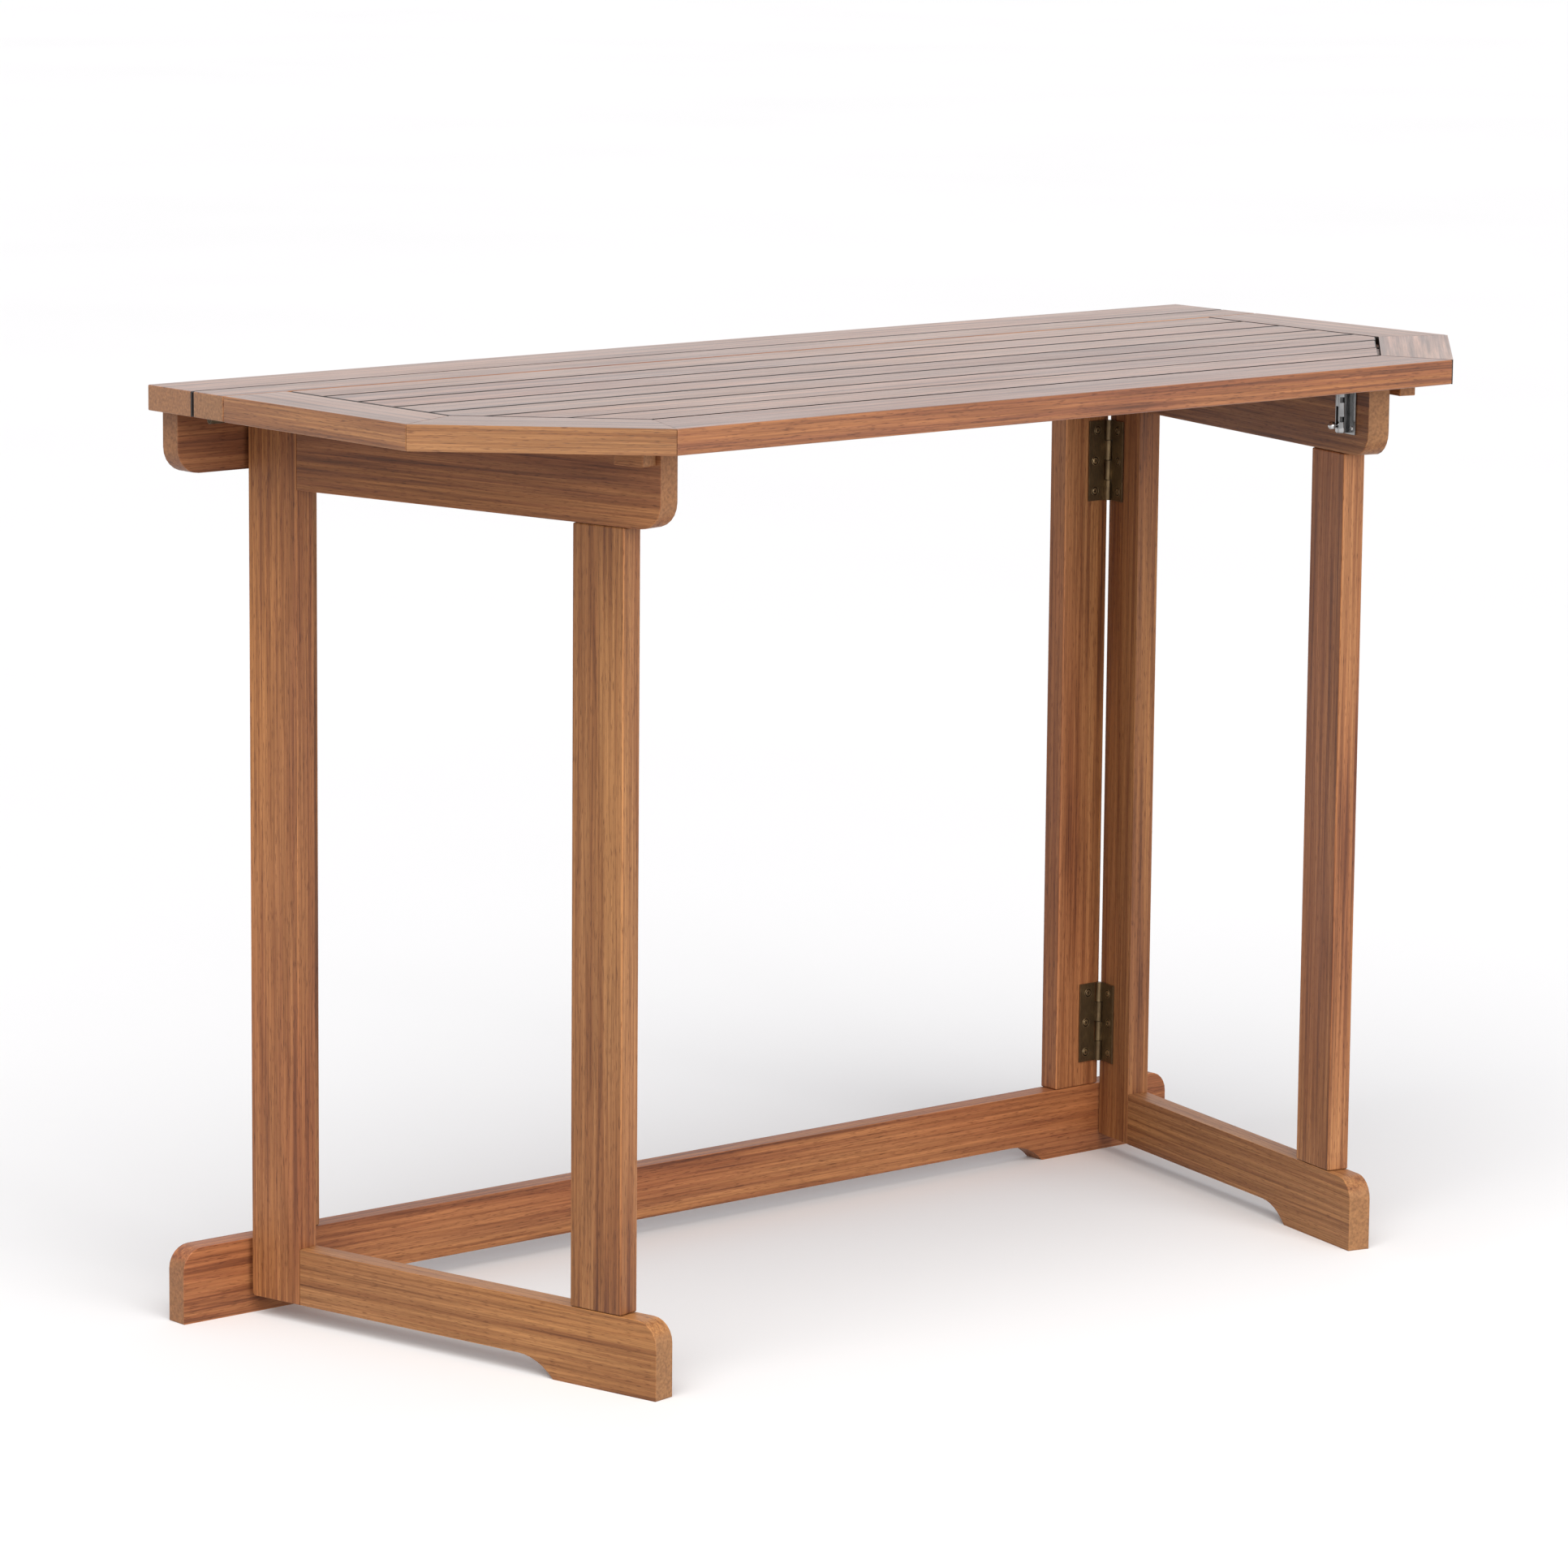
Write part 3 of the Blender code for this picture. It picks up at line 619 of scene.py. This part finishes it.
def add_screw(shape, centre, out, radius, rise, twist, up=UP, burr_radius=None):
    """A countersunk head with a cross recess, and the burr round its countersink if it shows."""
    place = head_matrix(centre, out, up) @ Matrix.Rotation(math.radians(twist), 4, "Z")
    arm, half = radius * 0.62, radius * 0.12
    cross = [
        (arm, half), (half, half), (half, arm), (-half, arm), (-half, half), (-arm, half),
        (-arm, -half), (-half, -half), (-half, -arm), (half, -arm), (half, -half), (arm, -half),
    ]
    profile = (
        (radius, SCREW_SUNK),
        (radius, rise * 0.45),
        (radius * 0.90, rise * 0.85),
        (radius * 0.70, rise),
    )
    rings = [add_ring(shape, place, circle(size), height) for size, height in profile]
    for low, high in zip(rings, rings[1:]):
        add_walls(shape, low, high)
    shape.faces.new(list(reversed(rings[0])))
    lip = add_ring(shape, place, cross, rise)
    add_crossed_face(shape, rings[-1], cross, lip)
    if burr_radius:
        inner = burr_radius - 0.00045
        profile = (
            (burr_radius, SCREW_SUNK),
            (burr_radius, 0.00010),
            (burr_radius - 0.00018, 0.00022),
            (inner, 0.00014),
            (inner, SCREW_SUNK),
        )
        rings = [add_ring(shape, place, circle(size), height) for size, height in profile]
        for low, high in zip(rings, rings[1:] + rings[:1]):
            add_walls(shape, low, high)
    bottom = add_ring(shape, place, [(x * 0.72, y * 0.72) for x, y in cross], rise - radius * 0.28)
    add_walls(shape, lip, bottom)
    shape.faces.new(bottom)


def add_shade_disc(shape, centre, out):
    """A dark disc round a screw, a hair proud of the plate: painted shade for the shadowed countersink.
    """
    place = head_matrix(centre, out, UP)
    points = circle(SINK_RADIUS - 0.0002)
    low, high = (add_ring(shape, place, points, height) for height in (SCREW_SUNK, SINK_RISE))
    add_walls(shape, low, high)
    shape.faces.new(high)
    shape.faces.new(list(reversed(low)))


def hinge_screws():
    """Three screws in each wing of the gates' butt hinges, in the hinges' slight zigzag."""
    face = KNUCKLE_RADIUS - WING_SET - WING_THICKNESS
    for side, sign in SIDES.items():
        pin = Vector(JOINTS[f"{side}_gate_swing"]["pos_m"])
        along, out = gate_axes(side)
        for level in ("upper", "lower"):
            low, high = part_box(f"{side}_{level}_hinge_pin")
            middle = (low[2] + high[2]) / 2
            seed = sign + 5 * (level == "upper")
            screw_finish = brass(f"{side}_{level}_hinge_screw_brass", 700 + seed, 1.7)
            # Near-black brass for the discs of painted shade in the countersinks.
            painted_shade_finish = brass(f"{side}_{level}_hinge_sink_brass", 720 + seed, 0.08)
            for part, body, run, facing_out in (
                ("gate", f"{side}_gate", along, -out),
                ("frame", "rear_frame", Vector((-sign, 0, 0)), Vector((0, -1, 0))),
            ):
                screws, shade_discs = bmesh.new(), bmesh.new()
                for row in (1, 0, -1):
                    spot = pin + run * (WING_WIDTH - SCREW_INSETS[row]) - facing_out * face
                    spot.z = middle + row * SCREW_PITCH
                    twist = 20 + 37 * row + 15 * sign
                    radius = HINGE_SCREW_RADIUS
                    add_screw(screws, spot, facing_out, radius, SCREW_RISE, twist, UP, SINK_RADIUS)
                    add_shade_disc(shade_discs, spot, facing_out)
                name = f"{side}_{level}_hinge_{part}"
                mesh_piece(f"{name}_screws", screws, screw_finish, body)
                mesh_piece(f"{name}_sinks", shade_discs, painted_shade_finish, body)


def seam_screws():
    """Screws of the hidden hinges under the seam, heads down."""
    for place in ("left", "middle", "right"):
        low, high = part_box(f"seam_hinge_{place}_pin")
        pin_x, pin_y, pin_z = ((low[axis] + high[axis]) / 2 for axis in range(3))
        finish = brass(f"seam_hinge_{place}_screw_brass", 800 + len(place), 0.8)
        for part, body, sign in (("strip", "rear_frame", 1), ("leaf", "leaf", -1)):
            shape = bmesh.new()
            for row in (-1, 1):
                x = pin_x + row * SEAM_SCREW_HALF_PITCH
                spot = (x, pin_y + sign * SEAM_SCREW_FROM_PIN, pin_z + SEAM_SCREW_LIFT)
                add_screw(shape, spot, (0, 0, -1), SEAM_SCREW_RADIUS, SCREW_RISE, 30 * row, (0, 1, 0))
            mesh_piece(f"seam_hinge_{place}_{part}_screws", shape, finish, body)


def add_strap(shape, centre, along, out, height):
    """A half-round band over the barrel, with its feet on the plate."""
    rows = []
    for z in (height - STRAP_TALL / 2, height + STRAP_TALL / 2):
        outer, inner = [], []
        for i in range(STRAP_STEPS + 1):
            angle = math.pi * i / STRAP_STEPS
            for arc, radius in ((outer, STRAP_OUTER), (inner, STRAP_INNER)):
                spot = centre + along * (radius * math.cos(angle)) + out * (radius * math.sin(angle))
                spot.z = z
                arc.append(shape.verts.new(spot))
        rows.append((outer, inner))
    (low_out, low_in), (high_out, high_in) = rows
    for i in range(STRAP_STEPS):
        shape.faces.new((low_out[i], low_out[i + 1], high_out[i + 1], high_out[i]))
        shape.faces.new((low_in[i + 1], low_in[i], high_in[i], high_in[i + 1]))
        shape.faces.new((high_out[i], high_out[i + 1], high_in[i + 1], high_in[i]))
        shape.faces.new((low_out[i + 1], low_out[i], low_in[i], low_in[i + 1]))
    for i in (0, STRAP_STEPS):
        shape.faces.new((low_out[i], high_out[i], high_in[i], low_in[i]))


def bolt_details():
    """Four screws in each bolt's plate and two straps over its barrel."""
    for side, sign in SIDES.items():
        along, out = gate_axes(side)
        pin = Vector(JOINTS[f"{side}_gate_swing"]["pos_m"])
        screws, straps = bmesh.new(), bmesh.new()
        for spread in (-BOLT_SCREW_SPREAD, BOLT_SCREW_SPREAD):
            for height in BOLT_SCREW_HEIGHTS:
                spot = pin + along * (BOLT_ALONG + spread) + out * (GATE_FACE_OUT - FIT - PLATE_THICKNESS)
                spot.z = height
                add_screw(screws, spot, -out, BOLT_SCREW_RADIUS, BOLT_SCREW_RISE, 25 + 900 * spread)
        for height in STRAP_HEIGHTS:
            add_strap(straps, pin + along * BOLT_ALONG + out * BOLT_AXIS_OUT, along, -out, height)
        # The screws' and straps' chrome is darkened as painted shade, for the dark surroundings they
        # reflect.
        screw_finish = chrome(f"{side}_bolt_screw_chrome", 900 + sign, 0.6)
        strap_finish = chrome(f"{side}_bolt_strap_chrome", 910 + sign, 0.45)
        mesh_piece(f"{side}_bolt_screws", screws, screw_finish, f"{side}_gate")
        mesh_piece(f"{side}_bolt_straps", straps, strap_finish, f"{side}_gate")


# Studio


def place_object(name, data, place, turn):
    made = bpy.data.objects.new(name, data)
    made.matrix_world = Matrix.Translation(Vector(place)) @ turn.to_4x4()
    bpy.context.scene.collection.objects.link(made)
    return made


def camera():
    level = math.cos(CAMERA_ELEVATION)
    forward = Vector(
        (math.sin(CAMERA_AZIMUTH) * level, math.cos(CAMERA_AZIMUTH) * level, math.sin(CAMERA_ELEVATION))
    )
    right = forward.cross(UP).normalized()
    up = right.cross(forward)
    rolled_right = right * math.cos(CAMERA_ROLL) + up * math.sin(CAMERA_ROLL)
    rolled_up = up * math.cos(CAMERA_ROLL) - right * math.sin(CAMERA_ROLL)
    data = bpy.data.cameras.new("camera")
    data.sensor_width = SENSOR
    data.lens = CAMERA_LENS
    data.clip_end = CAMERA_REACH
    turn = Matrix((rolled_right, rolled_up, -forward)).transposed()
    bpy.context.scene.camera = place_object("camera", data, CAMERA_PLACE, turn)


def sky():
    """A sky that reflections and the camera see brighter than it lights."""
    world = bpy.data.worlds.new("studio")
    world.use_nodes = True
    graph = Graph(world.node_tree)
    background = world.node_tree.nodes["Background"]
    rays = graph.add("LightPath").outputs
    color = graph.mix("MIX", rays["Is Glossy Ray"], SKY_COLOR, SKY_REFLECTED_COLOR)
    graph.link(color, background.inputs["Color"])
    strength = SKY_LIGHT
    for kind, level in (("Is Glossy Ray", SKY_IN_REFLECTIONS), ("Is Camera Ray", SKY_SEEN)):
        strength = graph.compute("MULTIPLY_ADD", rays[kind], level - SKY_LIGHT, strength)
    graph.link(strength, background.inputs["Strength"])
    bpy.context.scene.world = world


def lights():
    sun = bpy.data.lights.new("softbox", "SUN")
    sun.energy = SUN_POWER
    sun.angle = math.radians(SUN_SPREAD)
    sun.color = SUN_COLOR
    place_object("softbox", sun, (0, 0, 0), Vector(SUN_FROM).to_track_quat("Z", "Y").to_matrix())
    front = bpy.data.lights.new("front", "AREA")
    front.shape = "RECTANGLE"
    front.size, front.size_y = FRONT_LIGHT_SIZE
    front.energy = FRONT_LIGHT_POWER
    aim = Vector(FRONT_LIGHT_TARGET) - Vector(FRONT_LIGHT_PLACE)
    place_object("front", front, FRONT_LIGHT_PLACE, aim.to_track_quat("-Z", "Y").to_matrix())


def floor():
    shape = bmesh.new()
    corners = [
        shape.verts.new((x * FLOOR_HALF_SIZE, y * FLOOR_HALF_SIZE, 0.0))
        for x, y in ((-1, -1), (1, -1), (1, 1), (-1, 1))
    ]
    shape.faces.new(corners)
    mesh = bpy.data.meshes.new("floor")
    shape.to_mesh(mesh)
    shape.free()
    made, graph, shader = new_material("floor_paint")
    cloud = graph.noise(graph.coordinates("Object"), 0.8, 2.0)
    paint = graph.ramp(cloud, [(0.3, grey(FLOOR_PAINT - 0.01)), (0.7, grey(FLOOR_PAINT + 0.01))])
    # The floor looks paler than the light it throws back, so the ground stays white round the shadows.
    bounced = graph.add("LightPath").outputs["Is Diffuse Ray"]
    graph.link(graph.mix("MIX", bounced, paint, FLOOR_BOUNCE), shader.inputs["Base Color"])
    shader.inputs["Roughness"].default_value = 0.85
    mesh.materials.append(made)
    place_object("floor", mesh, (0, 0, 0), Matrix.Identity(3))


camera()
sky()
lights()
floor()
bpy.context.scene.view_settings.view_transform = "Standard"
finish_boards()
finish_metal()
hinge_screws()
seam_screws()
bolt_details()

bpy.context.view_layer.update()
